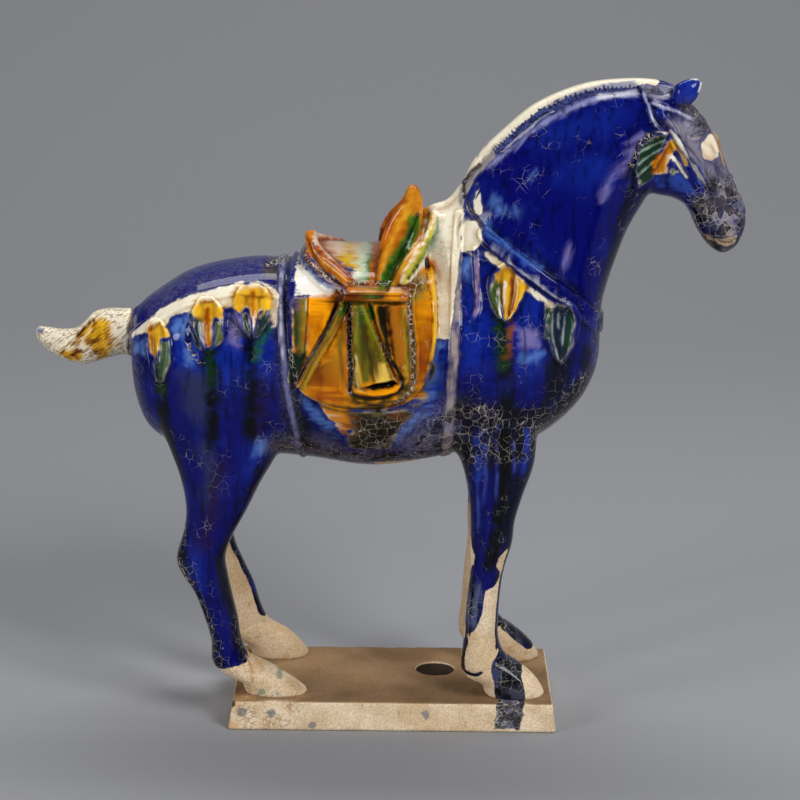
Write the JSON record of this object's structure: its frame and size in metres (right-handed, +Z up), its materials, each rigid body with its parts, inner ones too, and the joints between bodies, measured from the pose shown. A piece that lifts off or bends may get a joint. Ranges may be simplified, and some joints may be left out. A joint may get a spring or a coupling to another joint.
{
  "type": "chinese tomb horse",
  "caption": "Glazed pottery tomb horse in cobalt blue, saddled and bridled, standing foursquare on a low pierced slab plinth.",
  "frame": {"origin": "on the centre line of the plinth's underside, below the saddle", "axes": "+X forwards, the way the horse faces; +Y to the horse's left; +Z up from the plinth to the ears"},
  "size_m": [0.3224, 0.0936, 0.2981],
  "materials": {
    "glaze": "glossy crackled lead glaze: cobalt blue with amber, green and cream runs over a buff clay that stays bare on the lower legs",
    "bare_clay": "unglazed buff earthenware, matt, with fine pits, cracks and a few spots of glaze"
  },
  "bodies": {
    "root": {"horse": "glaze", "plinth": "bare_clay"}
  },
  "joints": []
}
